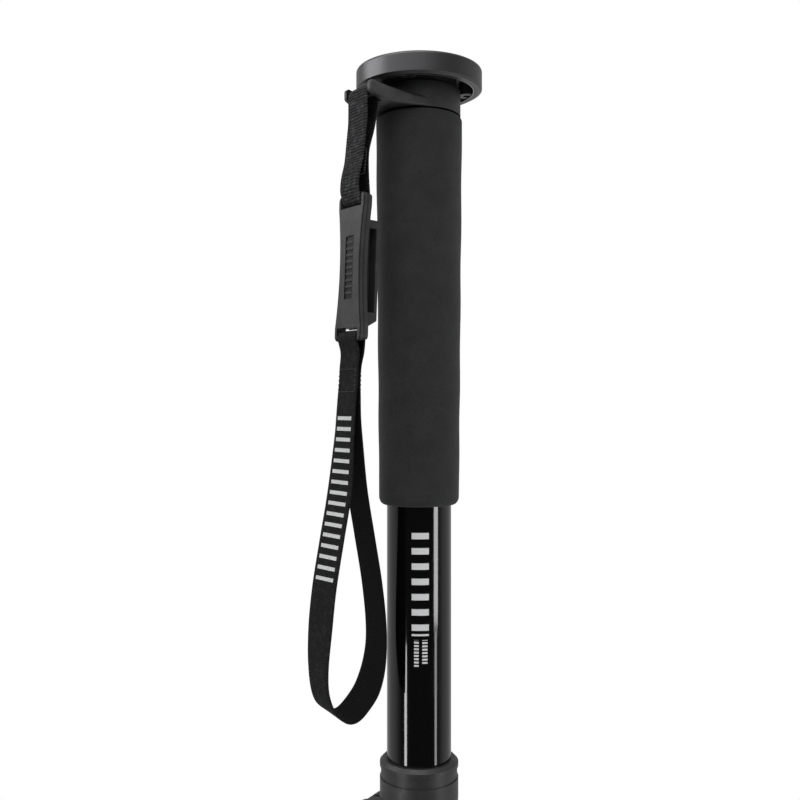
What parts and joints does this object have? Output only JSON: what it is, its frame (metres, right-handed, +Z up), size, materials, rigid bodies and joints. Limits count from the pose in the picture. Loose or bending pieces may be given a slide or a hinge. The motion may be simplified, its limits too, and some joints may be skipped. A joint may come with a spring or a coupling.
{
  "type": "camera monopod",
  "caption": "Telescopic camera support pole with a round screw platform, foam grip, webbing wrist strap, cam-lever tube clamps and a rubber foot, stored collapsed.",
  "frame": {"origin": "centre of the rubber foot's underside, on the tubes' axis", "axes": "+Z up along the tubes to the platform; the picture is taken looking along +Y with +X to its right"},
  "size_m": [0.0794, 0.0702, 0.4876],
  "materials": {
    "gloss_black_tube": "gloss black lacquer on aluminium",
    "inner_tube_black": "satin black anodised",
    "satin_black_plate": "satin black powder coat",
    "bare_aluminium": "machined",
    "grip_foam": "matte closed-cell foam",
    "black_moulding": "fine moulded texture",
    "lever_plastic": "semi-gloss moulding",
    "connector_plastic": "satin moulding",
    "guide_plastic": "plain acetal",
    "black_rubber": "moulded rubber",
    "black_webbing": "ribbed polypropylene webbing",
    "screw_steel": "zinc-plated steel"
  },
  "bodies": {
    "grip_section": {"tube_1": "gloss_black_tube", "foam_grip": "grip_foam", "strap_collar": "black_moulding", "head_hub": "bare_aluminium", "head_plate": "satin_black_plate", "plate_pad": "black_rubber", "plate_grub_screws": "screw_steel", "camera_stud": "screw_steel", "lock_body_1": "black_moulding", "lock_liner_1": "guide_plastic", "lock_bolt_1": "screw_steel", "lock_nut_1": "screw_steel", "lock_saddle_1": "screw_steel", "lock_pin_1": "screw_steel"},
    "section_2": {"tube_2": "inner_tube_black", "guide_2": "guide_plastic", "lock_body_2": "black_moulding", "lock_liner_2": "guide_plastic", "lock_bolt_2": "screw_steel", "lock_nut_2": "screw_steel", "lock_saddle_2": "screw_steel", "lock_pin_2": "screw_steel"},
    "section_3": {"tube_3": "inner_tube_black", "guide_3": "guide_plastic", "lock_body_3": "black_moulding", "lock_liner_3": "guide_plastic", "lock_bolt_3": "screw_steel", "lock_nut_3": "screw_steel", "lock_saddle_3": "screw_steel", "lock_pin_3": "screw_steel"},
    "section_4": {"tube_4": "inner_tube_black", "guide_4": "guide_plastic", "foot_plug": "black_moulding", "rubber_foot": "black_rubber"},
    "upper_strap": {"strap_upper_loop": "black_webbing"},
    "connector": {"strap_connector": "connector_plastic", "connector_back": "connector_plastic"},
    "wrist_strap": {"wrist_loop": "black_webbing"},
    "lever_1": {"lock_lever_1": "lever_plastic"},
    "lever_2": {"lock_lever_2": "lever_plastic"},
    "lever_3": {"lock_lever_3": "lever_plastic"}
  },
  "joints": [
    {"name": "slide_1", "type": "slide", "parent": "grip_section", "child": "section_2", "axis": [0, 0, -1], "range_m": [0, 0.278]},
    {"name": "lever_1_hinge", "type": "hinge", "parent": "grip_section", "child": "lever_1", "pos_m": [-0.02414, 0.00279, 0.1311], "axis": [0, 0, -1], "range_deg": [0, 115]},
    {"name": "slide_2", "type": "slide", "parent": "section_2", "child": "section_3", "axis": [0, 0, -1], "range_m": [0, 0.317]},
    {"name": "lever_2_hinge", "type": "hinge", "parent": "section_2", "child": "lever_2", "pos_m": [-0.02241, 0.00179, 0.0899], "axis": [0, 0, -1], "range_deg": [0, 115]},
    {"name": "slide_3", "type": "slide", "parent": "section_3", "child": "section_4", "axis": [0, 0, -1], "range_m": [0, 0.354]},
    {"name": "lever_3_hinge", "type": "hinge", "parent": "section_3", "child": "lever_3", "pos_m": [-0.02067, 0.00079, 0.0507], "axis": [0, 0, -1], "range_deg": [0, 115]},
    {"name": "ear_hinge", "type": "hinge", "parent": "grip_section", "child": "upper_strap", "pos_m": [-0.02531, -0.01942, 0.4652], "axis": [-0.6088, 0.7934, 0], "range_deg": [0, 90]},
    {"name": "connector_hinge", "type": "hinge", "parent": "upper_strap", "child": "connector", "pos_m": [-0.02848, -0.02185, 0.4184], "axis": [-0.6088, 0.7934, 0], "range_deg": [0, 75]},
    {"name": "wrist_hinge", "type": "hinge", "parent": "connector", "child": "wrist_strap", "pos_m": [-0.03045, -0.02336, 0.35665], "axis": [-0.6088, 0.7934, 0], "range_deg": [0, 90]}
  ]
}
